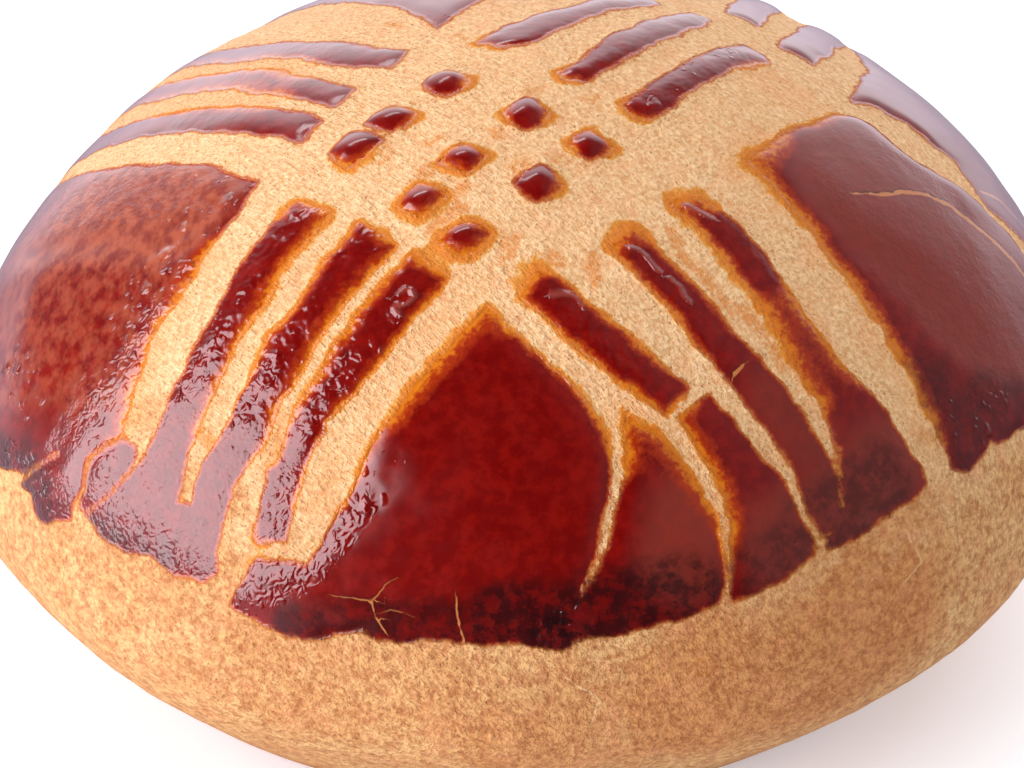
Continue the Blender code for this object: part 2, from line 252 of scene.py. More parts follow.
# Where amber wash runs out beyond the thick wash: width of the zone, how far it runs, and line.
HALOS = (
    (2.0, 0.9, ((-21.4, -14.6), (-19.0, -16.0))),
    (1.0, 0.4, ((-18.6, -16.6), (-22.8, -21.4), (-26.1, -26.0))),
    (3.0, 0.6, ((-15.6, -19.6), (-20.4, -25.6), (-24.0, -30.0))),
    (3.0, 0.8, ((-10.6, -24.2), (-16.4, -30.4), (-20.0, -34.4))),
    (1.6, 1.5, ((-10.2, -23.0), (-9.4, -24.0))),
    (2.0, 0.9, ((-5.4, -29.6), (-12.0, -36.6))),
    (2.0, 0.6, ((-12.0, -36.6), (-16.0, -41.0))),
    (2.0, 0.4, ((-4.6, -29.4), (2.4, -35.8), (6.4, -39.6))),
    (3.0, 0.6, ((-0.9, -26.7), (3.6, -30.2), (8.6, -33.8))),
    (2.0, 2.1, ((-1.6, -26.2), (-0.6, -25.0))),
    (2.0, 2.2, ((6.6, -21.4), (7.6, -21.4))),
    (2.6, 0.6, ((8.0, -22.6), (11.0, -25.3), (15.0, -29.4))),
    (2.0, 2.3, ((12.0, -16.6), (13.4, -16.2))),
    (1.6, 0.7, ((12.6, -19.4), (18.3, -24.2), (22.4, -28.8))),
    (2.0, 1.4, ((17.4, -10.6), (18.6, -9.6))),
    (1.6, 0.9, ((18.4, -11.6), (22.0, -15.4))),
    (1.6, 0.5, ((26.0, -19.0), (29.0, -22.0))),
    (1.6, 0.5, ((33.0, -26.0), (36.0, -29.0))),
    (1.6, 0.5, ((19.0, -8.6), (26.5, 0.0))),
    (2.0, 0.4, ((15.6, -38.4), (18.6, -41.4))),
    (2.0, 0.4, ((9.0, -39.2), (13.6, -43.4))),
    (4.0, 1.2, ((-6.9, -21.9), (-6.8, -21.9))),
    (4.0, 1.0, ((-10.8, -17.2), (-10.9, -17.2))),
    (3.0, 0.7, ((-7.2, -13.3), (-7.1, -13.3))),
    (1.0, 1.1, ((1.4, -16.6), (1.5, -16.6))),
    (1.0, 1.1, ((-5.0, -13.2), (-4.9, -13.2))),
    (1.0, 1.1, ((0.4, -8.2), (0.5, -8.2))),
    (1.0, 0.9, ((-3.6, -8.6), (-3.7, -8.6))),
    (1.0, 1.1, ((-6.4, -2.8), (-6.3, -2.8))),
    (1.0, 1.1, ((6.0, -11.6), (6.1, -11.6))),
    (1.0, 1.0, ((2.0, -11.9), (1.9, -11.9))),
    (1.0, 0.9, ((4.0, -10.0), (4.0, -9.9))),
    (2.0, 0.8, ((-16.4, -11.0), (-15.4, -11.4))),
    (1.0, 0.8, ((-10.8, -6.6), (-10.7, -6.6))),
    (1.6, 0.6, ((-5.6, 2.6), (-4.8, 2.4))),
    (1.6, 0.8, ((1.2, -2.8), (1.8, -3.4))),
    (1.6, 0.8, ((7.0, -6.6), (7.8, -7.2))),
    (1.0, 0.4, ((-26.8, -45.6), (-27.6, -45.8))),
)

# Faint amber smudges on the bare dough: width, strength and line.
SMUDGES = (
    (0.8, 0.7, ((-3.4, -24.2), (-2.4, -22.2))),
    (0.9, 0.7, ((-4.6, -21.2), (-3.8, -22.6))),
    (0.7, 0.8, ((-9.4, -20.2), (-8.6, -19.0), (-7.4, -18.6))),
    (0.8, 0.8, ((-9.9, -13.6), (-11.4, -15.2))),
    (0.7, 0.8, ((-8.0, -17.2), (-7.2, -16.4))),
    (0.9, 0.6, ((-13.7, -11.5), (-13.3, -10.6))),
    (0.7, 0.7, ((-4.6, -10.0), (-3.8, -10.6))),
    (0.8, 0.7, ((-2.6, -15.0), (-1.6, -14.2))),
    (0.9, 0.6, ((0.8, -13.4), (1.4, -14.0))),
    (0.7, 0.6, ((4.0, -5.9), (4.6, -5.6))),
    (0.7, 0.6, ((-1.5, -5.4), (-1.0, -5.0))),
    (0.6, 0.7, ((-9.6, -10.4), (-9.0, -10.0))),
    (0.7, 0.7, ((-13.0, 8.8), (-13.6, 10.0))),
    (0.8, 0.6, ((-10.1, 8.3), (-9.6, 7.2))),
    (0.7, 0.6, ((-7.6, 4.6), (-6.8, 4.4))),
    (0.4, 0.8, ((4.2, -23.5), (4.4, -24.8), (4.8, -26.4))),
    (0.6, 0.8, ((-0.1, -24.6), (1.0, -23.9), (1.9, -24.6))),
    (0.5, 0.8, ((11.2, -19.8), (12.4, -22.4), (14.4, -23.8), (15.8, -26.0), (18.4, -27.0), (22.0, -30.6))),
    (1.6, 0.5, ((18.3, -58.8), (18.8, -58.2))),
    (1.3, 0.45, ((48.2, -42.3), (48.8, -41.6))),
    (1.4, 0.4, ((41.8, -53.6), (42.2, -53.2))),
    (0.7, 0.7, ((-31.4, -33.4), (-30.4, -35.6))),
    (0.5, 0.7, ((-22.9, -35.2), (-24.4, -38.8))),
    (0.6, 0.7, ((-27.0, -46.6), (-28.0, -47.4))),
)

# Broad areas of thin wash, which also warm the dough beside them.
THIN_AREAS = (
    (3.0, 0.55, ((8.4, -38.8), (11.4, -41.6), (14.6, -44.6))),
    (1.6, 0.5, ((17.6, -10.9), (22.2, -15.3), (27.9, -20.6), (33.2, -25.9), (37.0, -29.9))),
    (1.6, 0.8, ((17.6, -10.9), (19.6, -8.0))),
    (3.0, 0.4, ((20.0, 2.0), (24.0, 0.0))),
    (2.0, 0.7, ((22.0, -25.4), (26.0, -31.0))),
    (2.0, 0.5, ((-6.0, -31.0), (-12.0, -37.0))),
    (1.6, 0.4, ((13.2, -38.4), (17.0, -42.0), (19.5, -45.6))),
    (1.6, 0.5, ((-30.0, -16.3), (-36.0, -24.6), (-38.3, -28.4))),
    (7.0, 0.5, ((-25.0, 4.0), (-34.0, 14.0), (-45.0, 28.0))),
    (2.0, 0.3, ((-20.0, -19.0), (-25.0, -25.0), (-31.0, -33.0))),
    (2.0, 0.3, ((-14.0, -22.0), (-19.0, -28.0), (-25.0, -37.0))),
    (1.6, 0.4, ((-7.0, -27.0), (-14.0, -35.0), (-20.0, -43.0))),
)

# Painted shade: where the bare dough is darkened, low on the front and most on the front right.
FRONT_PAINTED_SHADE = (
    (9.0, 0.8, ((18.0, -62.0), (30.0, -56.0), (38.0, -48.0))),
    (6.0, 0.5, ((-2.0, -68.0), (12.0, -66.0))),
    (4.0, 0.35, ((-30.0, -56.0), (-20.0, -61.0), (-4.0, -64.0))),
)

# Burnt crust: width, how dark, and line.
BURNS = (
    (3.0, 0.7, ((-24.0, -54.0), (-15.0, -55.4), (-4.0, -56.8))),
    (5.0, 0.85, ((-3.0, -56.0), (4.0, -56.0), (12.0, -53.8))),
    (2.0, 1.0, ((1.8, -56.6), (5.4, -55.6))),
    (4.0, 0.8, ((4.0, -55.4), (8.0, -53.6), (16.0, -51.6))),
    (3.0, 0.8, ((-58.0, -20.0), (-54.6, -24.8), (-51.6, -26.8))),
    (2.6, 0.7, ((-50.6, -30.2), (-50.0, -32.6))),
    (1.2, 0.6, ((-44.4, -37.6), (-41.4, -41.0), (-37.0, -43.8))),
    (4.4, 0.5, ((36.4, -27.0), (40.6, -31.0), (43.6, -25.0), (47.4, -23.0))),
    (5.0, 0.6, ((27.0, -44.0), (33.0, -37.6))),
    (4.0, 0.55, ((21.6, -49.6), (26.4, -45.6))),
    (1.0, 0.6, ((9.0, -54.6), (15.4, -52.6))),
    (3.0, 0.4, ((-58.6, 2.0), (-60.0, -8.0), (-58.6, -16.0))),
    (3.0, 0.4, ((-36.0, 45.5), (-20.0, 54.4), (-2.0, 57.4), (18.0, 54.2))),
    (3.0, 0.4, ((33.0, 46.4), (44.0, 37.0), (52.0, 24.0), (54.6, 12.0))),
)

# Where the wash boiled into small blisters.
BLISTERS = (
    (2.8, 0.8, ((-28.0, -24.0), (-31.5, -29.0))),
    (2.8, 0.8, ((-22.5, -29.0), (-26.5, -34.0))),
    (2.8, 0.8, ((-14.5, -29.5), (-21.0, -36.5))),
    (2.4, 0.9, ((-26.6, -10.6), (-30.0, -8.6), (-31.0, -11.6), (-30.0, -14.6))),
    (3.0, 0.9, ((-32.0, -18.0), (-36.0, -23.0))),
    (2.6, 1.0, ((-49.0, -21.5), (-50.4, -16.0))),
    (2.4, 0.8, ((-14.0, -40.5), (-18.0, -46.0))),
    (2.6, 0.6, ((38.0, -29.0), (42.0, -29.0), (45.0, -25.0))),
    (1.8, 0.5, ((8.4, -6.0), (11.6, -1.6), (16.0, 4.0))),
    (2.0, 0.8, ((-34.0, -15.4), (-38.0, -18.6))),
)

# Where the wash dried into fine folds.
CRINKLES = (
    (2.6, 1.0, ((-43.5, -36.8), (-41.0, -39.6), (-38.0, -41.6), (-34.6, -45.0))),
    (3.0, 0.8, ((-53.5, -25.0), (-50.4, -30.4), (-48.0, -33.6))),
    (3.4, 1.0, ((-35.0, -21.0), (-38.6, -26.0), (-42.0, -29.0))),
    (2.4, 1.0, ((-29.8, -26.4), (-31.7, -29.4))),
    (2.4, 1.0, ((-24.6, -30.4), (-27.6, -33.6))),
    (2.4, 1.0, ((-17.6, -32.6), (-21.2, -36.4))),
    (2.6, 0.8, ((-23.6, -42.4), (-25.2, -45.6))),
    (4.0, 1.0, ((-18.0, -44.6), (-21.0, -48.0), (-27.6, -49.6))),
    (3.0, 1.0, ((2.6, -56.8), (4.8, -55.8))),
    (2.0, 0.6, ((-41.0, -33.0), (-39.4, -34.0))),
    (4.0, 0.3, ((-36.0, -38.0), (-32.0, -41.0))),
    (1.6, 0.12, ((-17.6, 5.2), (-20.6, 7.8), (-24.6, 11.4))),
    (1.6, 0.12, ((-19.6, 0.0), (-25.6, 5.6), (-31.0, 10.4))),
)

# Where the wash set in soft waves that catch the light in long curls.
WAVES = (
    (3.0, 0.7, ((-20.4, -15.6), (-24.8, -21.0), (-30.0, -28.0))),
    (3.0, 0.7, ((-14.6, -20.0), (-20.0, -26.0), (-26.0, -33.0))),
    (3.0, 0.7, ((-10.0, -24.4), (-15.6, -30.4), (-20.6, -36.0))),
    (3.0, 0.8, ((-0.9, -26.7), (3.6, -30.2), (8.6, -33.8))),
    (3.0, 0.7, ((7.0, -21.6), (11.0, -25.3), (16.0, -30.2))),
    (3.0, 0.5, ((13.0, -17.4), (17.0, -21.6), (22.0, -27.0))),
    (3.0, 0.15, ((-5.0, 3.0), (-1.0, 4.8), (4.0, 8.9), (10.0, 13.0))),
    (3.0, 0.2, ((1.8, -3.2), (5.6, 0.0), (10.0, 5.6), (15.0, 11.4))),
    (3.0, 0.3, ((8.2, -6.6), (10.6, -3.4), (14.8, 1.6), (19.6, 6.2))),
    (2.6, 0.15, ((-13.6, 2.6), (-18.9, 6.3), (-25.5, 12.2))),
    (2.6, 0.15, ((-17.8, -1.8), (-20.9, 1.0), (-27.1, 7.0))),
    (2.6, 0.15, ((-20.4, -5.6), (-23.9, -2.5), (-32.2, 3.5))),
)

# Where the wash baked to a browner skin.
DULL = (
    (4.5, 0.7, ((24.0, -46.0), (30.0, -40.0), (33.0, -36.0))),
    (3.0, 0.5, ((22.0, -33.6), (27.0, -38.6))),
    (4.0, 0.8, ((15.0, -46.0), (14.6, -49.0))),
    (14.0, 0.8, ((30.0, -8.0), (40.0, -14.0), (48.0, -10.0))),
    (10.0, 0.9, ((-48.0, 4.0), (-40.0, -2.0), (-32.0, -8.0))),
)

# Where the wash has a satin face.
SATIN = (
    (10.0, 1.0, ((-40.0, -40.0), (-33.0, -38.0), (-31.0, -42.0))),
    (5.0, 1.0, ((-34.0, -31.0), (-28.0, -36.0), (-23.0, -43.0))),
    (4.5, 0.8, ((24.0, -46.0), (30.0, -40.0), (33.0, -36.0))),
    (12.0, 0.3, ((30.0, -8.0), (46.0, -12.0), (36.0, -20.0))),
    (4.0, 0.4, ((-37.0, -20.0), (-42.0, -27.0), (-47.0, -31.0))),
    (6.0, 0.5, ((-50.0, 6.0), (-40.0, -2.0), (-30.0, -8.0))),
)

# Where the crust hardly stands above the tine marks.
FLAT = (
    (14.0, 1.2, ((-30.0, 10.0), (-40.0, 20.0), (-48.0, 28.0))),
    (8.0, 1.0, ((-58.0, -14.0), (-58.0, 4.0), (-52.0, 20.0))),
    (8.0, 1.0, ((46.0, 4.0), (54.0, 10.0))),
)

# Where the wash is mottled with orange clouds.
CLOUDS = (
    (12.0, 0.6, ((-52.0, -10.0), (-44.0, -15.0), (-38.0, -20.0))),
    (10.0, 0.9, ((-46.0, 0.0), (-34.0, -10.0))),
)

# Soft boxes: name, azimuth, elevation, distance, size, brightness, colour, and whether the
# glaze mirrors them. Brightness is that of a lit white surface, and azimuth 90 is behind.
LIGHTS = (
    ("key", -157.0, 25.0, 0.5, (0.5, 0.42), 4.9, (1.0, 0.95, 1.0), True),
    ("back_panel", 118.0, 50.0, 0.6, (0.3, 0.07), 5.0, (1.0, 0.97, 1.0), True),
    ("overhead", 60.0, 76.0, 0.8, (0.9, 0.9), 1.6, (1.0, 0.98, 0.97), False),
    ("right_fill", 14.0, 20.0, 0.9, (0.9, 0.5), 2.1, (1.0, 0.99, 1.0), False),
    ("left_fill", -140.0, 16.0, 0.9, (0.9, 0.5), 1.35, (1.0, 1.0, 1.0), False),
    ("front_fill", -102.0, 12.0, 0.9, (0.9, 0.4), 0.7, (1.0, 0.99, 0.98), False),
)

# In metres: the height that the lights aim at, and the side of the floor.
LIGHT_TARGET_HEIGHT = 0.03
FLOOR_SIZE = 8.0

# Camera: focal length and principal point in pixels of a 1024 x 768 image.
IMAGE_WIDTH = 1024
FOCAL_PIXELS = 3729.8
CENTRE_RIGHT = 7.5
CENTRE_DOWN = 0.5
CAMERA_DISTANCE = 347.35
CAMERA_ELEVATION = math.radians(38.0)
SENSOR_WIDTH = 36.0


def half_outline():
    """Return radius and height from the crown's middle down to the middle of the underside."""
    turn = np.linspace(math.pi / 2, 0.0, PROFILE_STEPS)
    crown_r = WIDEST_RADIUS * np.cos(turn) ** (2 / CROWN_SIDE_POWER)
    crown_z = CROWN_HEIGHT * np.sin(turn) ** (2 / CROWN_TOP_POWER)
    crown_r[0] = 0.0
    full_ease = math.hypot(1.0, LOWER_EASE) - LOWER_EASE
    slope = math.atan(LOWER_TAPER * WIDEST_RADIUS / full_ease / LOWER_HEIGHT)
    end = 1.0 - UNDERSIDE_ROUNDING * (1 - math.sin(slope)) / LOWER_HEIGHT
    fall = np.linspace(0.0, end, PROFILE_STEPS // 2)[1:]
    eased = (np.hypot(fall, LOWER_EASE) - LOWER_EASE) / full_ease
    side_r = WIDEST_RADIUS * (1 - LOWER_TAPER * eased)
    side_z = -LOWER_HEIGHT * fall
    arc = np.linspace(slope, math.pi / 2, PROFILE_STEPS // 8)[1:]
    round_r = side_r[-1] + UNDERSIDE_ROUNDING * (np.cos(arc) - math.cos(slope))
    round_z = UNDERSIDE_ROUNDING * (1 - np.sin(arc)) - LOWER_HEIGHT
    flat_r = np.linspace(round_r[-1], 0.0, PROFILE_STEPS // 4)[1:]
    flat_z = np.full(flat_r.shape, -LOWER_HEIGHT)
    radius = np.concatenate((crown_r, side_r, round_r, flat_r))
    height = np.concatenate((crown_z, side_z, round_z, flat_z))
    return radius, height


def offset_strip(start_width, end_width, line):
    """Return the outline of a strip of crust that follows a line."""
    line = np.array(line)
    along = np.gradient(line, axis=0)
    along /= np.linalg.norm(along, axis=1)[:, None]
    across = np.stack((-along[:, 1], along[:, 0]), axis=1)
    half = np.linspace(start_width, end_width, len(line))[:, None] / 2
    return np.concatenate((line + across * half, (line - across * half)[::-1]))


def crust_outlines():
    """Return the outlines of every glazed area in crust co-ordinates."""
    outlines = []
    for u, v, half_width, half_depth in LOZENGES:
        outlines.append(np.array(LOZENGE_OUTLINE) * (half_width, half_depth) + (u, v))
    for start_width, end_width, line in STRIPS:
        outlines.append(offset_strip(start_width, end_width, line))
    for corners in FIELDS.values():
        outlines.append(np.array(corners))
    return outlines


def depth_inside(outline, u, v):
    """Return the distance to an outline, positive inside it and negative outside."""
    nearest = np.full(u.shape, np.inf)
    inside = np.zeros(u.shape, dtype=bool)
    for (u0, v0), (u1, v1) in zip(outline, np.roll(outline, -1, axis=0)):
        du = u1 - u0
        dv = v1 - v0
        part = np.clip(((u - u0) * du + (v - v0) * dv) / (du * du + dv * dv), 0.0, 1.0)
        gap = (u - u0 - part * du) ** 2 + (v - v0 - part * dv) ** 2
        nearest = np.minimum(nearest, gap)
        if dv != 0:
            crosses = ((v0 > v) != (v1 > v)) & (u < u0 + (v - v0) * du / dv)
            inside ^= crosses
    return np.where(inside, 1, -1) * np.sqrt(nearest)


def line_place(line, u, v):
    """Return the distance to a line, the share of it passed, the side, and how far past its ends."""
    gap = np.full(u.shape, np.inf)
    share = np.zeros(u.shape)
    side = np.ones(u.shape)
    past = np.zeros(u.shape)
    spans = len(line) - 1
    for index in range(spans):
        u0, v0 = line[index]
        du = line[index + 1][0] - u0
        dv = line[index + 1][1] - v0
        length = math.hypot(du, dv)
        along = ((u - u0) * du + (v - v0) * dv) / length
        part = np.clip(along / length, 0.0, 1.0)
        here = np.hypot(u - u0 - part * du, v - v0 - part * dv)
        near = here < gap
        gap = np.where(near, here, gap)
        share = np.where(near, (index + part) / spans, share)
        side = np.where(near, np.sign((v - v0) * du - (u - u0) * dv), side)
        before = (index == 0) & (along < 0)
        beyond = (index == spans - 1) & (along > length)
        over = np.where(before | beyond, np.abs(along - part * length), 0.0)
        past = np.where(near, over, past)
    return gap, share, side, past


def line_gap(line, u, v, start_width, end_width):
    """Return the distance outside a line of the given widths, negative within it."""
    gap, share, _, _ = line_place(line, u, v)
    return gap - (start_width + (end_width - start_width) * share) / 2


def fine_line_marks(rows, u, v):
    """Return the signed distance to the nearest fine line, and the line's width there."""
    nearest = np.full(u.shape, np.inf)
    offset = np.full(u.shape, FINE_LINE_REACH)
    width = np.zeros(u.shape)
    for start_width, end_width, line in rows:
        gap, share, side, past = line_place(line, u, v)
        near = gap < nearest
        nearest = np.where(near, gap, nearest)
        offset = np.where(near, np.clip(gap, 0.0, FINE_LINE_REACH) * side, offset)
        fade = np.clip(1 - past / HAIRLINE_TAPER, 0.0, 1.0)
        fade *= np.clip(2 - gap / HAIRLINE_TAPER, 0.0, 1.0)
        width = np.where(near, (start_width + (end_width - start_width) * share) * fade, width)
    return offset, width


def smooth_rise(value):
    """Ease from 0 to 1 as the value goes from 0 to 1."""
    value = np.clip(value, 0.0, 1.0)
    return value * value * (3 - 2 * value)


def lumps(points, size, seed):
    """Return smooth noise from -1 to 1 whose lumps are about the given size."""
    shift = Vector((seed * 1.7, seed * -2.3, seed * 0.9))
    return np.array([noise.noise(Vector(spot) / size + shift) for spot in points])


def mesh_rings():
    """Return the angle and the reach of every point, and the faces, of a disc wrapped on the bun."""
    side = 2 * CROWN_RINGS
    across, up = np.meshgrid(np.arange(side + 1) - CROWN_RINGS, np.arange(side + 1) - CROWN_RINGS)
    ring = np.maximum(np.abs(across), np.abs(up)) / CROWN_RINGS
    sideways = np.abs(across) >= np.abs(up)
    slant = math.pi / 4 * up / np.where(across == 0, 1, across)
    lean = math.pi / 4 * across / np.where(up == 0, 1, up)
    angle = np.where(sideways, slant + math.pi * (across < 0), math.pi / 2 * np.sign(up) - lean)
    index = np.arange((side + 1) ** 2).reshape(side + 1, side + 1)
    quads = np.stack((index[:-1, :-1], index[:-1, 1:], index[1:, 1:], index[1:, :-1]), axis=-1)
    quads = quads.reshape(-1, 4)
    angles = [angle.ravel()]
    reaches = [ring.ravel() * CROWN_REACH]

    edge = np.concatenate((index[0, :-1], index[:-1, -1], index[-1, :0:-1], index[:0:-1, 0]))
    edge_angle = angle.ravel()[edge]
    radius, height = half_outline()
    full = np.hypot(np.diff(radius), np.diff(height)).sum()
    base_reach = full - radius[-(PROFILE_STEPS // 4)]
    stops = np.concatenate((
        np.linspace(CROWN_REACH, WALL_REACH, WALL_RINGS + 1)[1:],
        np.linspace(WALL_REACH, base_reach, LOWER_RINGS + 1)[1:],
        np.linspace(base_reach, full, UNDERSIDE_RINGS + 1)[1:-1],
    ))
    count = index.size
    faces = [quads]
    last = edge
    for stop in stops:
        new = np.arange(count, count + len(edge))
        count += len(edge)
        angles.append(edge_angle)
        reaches.append(np.full(len(edge), stop))
        faces.append(np.stack((last, new, np.roll(new, -1), np.roll(last, -1)), axis=-1))
        last = new
    angles.append(np.zeros(1))
    reaches.append(np.full(1, full))
    tip = np.full(len(last), count)
    closing = np.stack((last, tip, np.roll(last, -1)), axis=-1)
    return np.concatenate(angles), np.concatenate(reaches), np.concatenate(faces), closing


def bare_form(angle, along):
    """Return the smooth form's radius, height and outward slope at each place."""
    radius, height = half_outline()
    reach = np.concatenate(([0.0], np.cumsum(np.hypot(np.diff(radius), np.diff(height)))))
    r = np.interp(along, reach, radius)
    z = np.interp(along, reach, height)
    out_r = -np.interp(along, reach, np.gradient(height, reach))
    out_z = np.interp(along, reach, np.gradient(radius, reach))
    return r, z, out_r, out_z


def zone(rows, u, v, fade):
    """Return the strength of the rows' zones, fading around each line's width."""
    total = np.zeros(u.shape)
    for width, strength, line in rows:
        total = np.maximum(total, strength * smooth_rise(1 - line_gap(line, u, v, width, width) / fade))
    return total


def surface_marks(points, u, v):
    """Return what each place of the crust is like: how deep in the wash it lies, and its zones."""
    u = u + sum(height * lumps(points, size, 3) for size, height in EDGE_WANDER)
    v = v + sum(height * lumps(points, size, 4) for size, height in EDGE_WANDER)
    depth = np.full(u.shape, -np.inf)
    for outline in crust_outlines():
        depth = np.maximum(depth, depth_inside(outline, u, v))
    depth += CRUST_SPREAD
    for start_width, end_width, line in CRACKS:
        depth = np.minimum(depth, line_gap(line, u, v, start_width, end_width))
    hair_offset, hair_width = fine_line_marks(HAIRLINES, u, v)
    curl_offset, curl_width = fine_line_marks(CURLS, u, v)
    pillow = np.zeros(u.shape)
    for u0, v0, half_width, half_depth in LOZENGES:
        pillow += np.exp(-1.5 * (((u - u0) / half_width) ** 2 + ((v - v0) / half_depth) ** 2) ** 1.4)
    return {
        "glaze": np.clip(depth, -FARTHEST_MARK, DEEPEST_MARK),
        "pillow": pillow,
        "hair_gap": hair_offset,
        "hair_width": hair_width,
        "curl_gap": curl_offset,
        "curl_width": curl_width,
        "halo": zone(HALOS, u, v, 1.5),
        "smudge": zone(SMUDGES, u, v, 1.0),
        "thin": zone(THIN_AREAS, u, v, 3.0),
        "front_shade": zone(FRONT_PAINTED_SHADE, u, v, 6.0),
        "burn": zone(BURNS, u, v, 2.0),
        "blister": zone(BLISTERS, u, v, 1.5),
        "crinkle": zone(CRINKLES, u, v, 1.0),
        "dull": zone(DULL, u, v, 4.0),
        "wave": zone(WAVES, u, v, 1.5),
        "satin": zone(SATIN, u, v, 3.0),
        "cloud": zone(CLOUDS, u, v, 5.0),
        "flat": zone(FLAT, u, v, 6.0),
    }


def spread(values, faces, rounds):
    """Return values smoothed along the mesh's edges."""
    start = faces.ravel()
    end = np.roll(faces, -1, axis=1).ravel()
    count = np.bincount(start, minlength=len(values)) + np.bincount(end, minlength=len(values))
    count = np.maximum(count, 1)
    for _ in range(rounds):
        total = np.bincount(start, values[end], len(values)) + np.bincount(end, values[start], len(values))
        values = (values + total / count) / 2
    return values


def relief(points, marks, faces):
    """Return how far the surface stands off the smooth form."""
    depth = marks["glaze"]
    inside = smooth_rise(0.5 + depth / CRUST_SHOULDER)
    lift = CRUST_LIFT * inside + CRUST_BULGE * smooth_rise(depth / BULGE_WIDTH)
    lift *= 1 - SATIN_FLATNESS * np.maximum(np.maximum(marks["satin"], marks["dull"]), marks["flat"])
    lift = spread(lift, faces, LIFT_SMOOTHING) + LOZENGE_BULGE * marks["pillow"]
    wave = sum(height * lumps(points, size, seed) for height, size, seed in CRUST_LUMPS)
    height, size, seed = BLISTER_LUMPS
    blister = height * marks["blister"] * lumps(points, size, seed)
    dough = sum(height * lumps(points, size, seed) for height, size, seed in DOUGH_LUMPS)
    return lift + inside * (wave + blister) + (1 - inside) * dough


def bun_mesh():
    """Build the bun's surface mesh with its marks as point attributes."""
    angle, along, quads, closing = mesh_rings()
    r, z, out_r, out_z = bare_form(angle, along)
    flat = np.stack((r * np.cos(angle), r * np.sin(angle), z), axis=1)
    marks = surface_marks(flat, along * np.cos(angle), along * np.sin(angle))
    swell = np.array([noise.noise(Vector(spot) / SWELL_SIZE + SWELL_SEED) for spot in flat])
    above_base = smooth_rise((z + LOWER_HEIGHT) / (2 * UNDERSIDE_ROUNDING))
    lift = (relief(flat, marks, quads) + SWELL_HEIGHT * swell) * above_base
    r = r + out_r * lift
    z = z + out_z * lift
    oval = 1 + OVAL_X * np.cos(2 * angle) + OVAL_DIAGONAL * np.sin(2 * angle)
    oval = oval + LOBE_X * np.cos(3 * angle) + LOBE_Y * np.sin(3 * angle)
    x = r * oval * np.cos(angle) + LEAN_X * z
    y = r * oval * np.sin(angle) + LEAN_Y * z
    points = np.stack((x, y, z + LOWER_HEIGHT), axis=1)
    middle = (points.min(axis=0) + points.max(axis=0)) / 2
    points -= (middle[0], middle[1], 0.0)
    points[:, 2] = np.maximum(points[:, 2], 0.0)

    mesh = bpy.data.meshes.new("glazed_bun")
    mesh.from_pydata((points * MM).tolist(), [], quads.tolist() + closing.tolist())
    mesh.shade_smooth()
    marks["reach"] = along
    marks["skin_u"] = along * np.cos(angle)
    marks["skin_v"] = along * np.sin(angle)
    for name, values in marks.items():
        attribute = mesh.attributes.new(name, "FLOAT", "POINT")
        attribute.data.foreach_set("value", values.astype(np.float32))
    bun = bpy.data.objects.new("glazed_bun", mesh)
    bpy.context.scene.collection.objects.link(bun)
    return bun, middle


class Nodes:
    """A small helper that adds shader nodes and links them by value or socket."""

    def __init__(self, tree):
        self.tree = tree

    def add(self, kind, inputs=None, **settings):
        """Add a node, set its properties, and fill its inputs with values or sockets."""
        node = self.tree.nodes.new(kind)
        for name, value in settings.items():
            setattr(node, name, value)
        for name, value in (inputs or {}).items():
            if isinstance(value, bpy.types.NodeSocket):
                self.tree.links.new(value, node.inputs[name])
            else:
                node.inputs[name].default_value = value
        return node

    def math(self, operation, first, second=0.0, clamp=False):
        """Return the result of one arithmetic step."""
        node = self.add("ShaderNodeMath", {0: first, 1: second}, operation=operation, use_clamp=clamp)
        return node.outputs[0]

    def ramp(self, value, low, high, start=0.0, end=1.0):
        """Return the value eased from one range into another."""
        node = self.add(
            "ShaderNodeMapRange",
            {"Value": value, "From Min": low, "From Max": high, "To Min": start, "To Max": end},
            interpolation_type="SMOOTHSTEP",
        )
        return node.outputs["Result"]

    def mix(self, factor, first, second):
        """Return a blend of two colours."""
        node = self.add("ShaderNodeMix", {0: factor, 6: first, 7: second}, data_type="RGBA")
        return node.outputs[2]

    def facing(self, vector, direction):
        """Return how far a vector points in a direction."""
        node = self.add("ShaderNodeVectorMath", {0: vector, 1: direction}, operation="DOT_PRODUCT")
        return node.outputs["Value"]

    def mark(self, name):
        """Return one of the mesh's attributes."""
        return self.add("ShaderNodeAttribute", attribute_name=name).outputs["Fac"]

    def noise(self, vector, scale, detail=2.0, roughness=0.5, distortion=0.0):
        """Return noise from 0 to 1; the scale is in lumps for each millimetre."""
        inputs = {
            "Vector": vector, "Scale": scale, "Detail": detail,
            "Roughness": roughness, "Distortion": distortion,
        }
        return self.add("ShaderNodeTexNoise", inputs).outputs["Fac"]

    def cells(self, flat_vector, scale):
        """Return the outputs of cells with a middle each, drawn in a plane."""
        inputs = {"Vector": flat_vector, "Scale": scale}
        return self.add("ShaderNodeTexVoronoi", inputs, voronoi_dimensions="2D").outputs


def srgb(red, green, blue):
    """Return a linear colour from an 8-bit screen colour."""
    values = [channel / 255 for channel in (red, green, blue)]
    linear = [v / 12.92 if v <= 0.04045 else ((v + 0.055) / 1.055) ** 2.4 for v in values]
    return (*linear, 1.0)


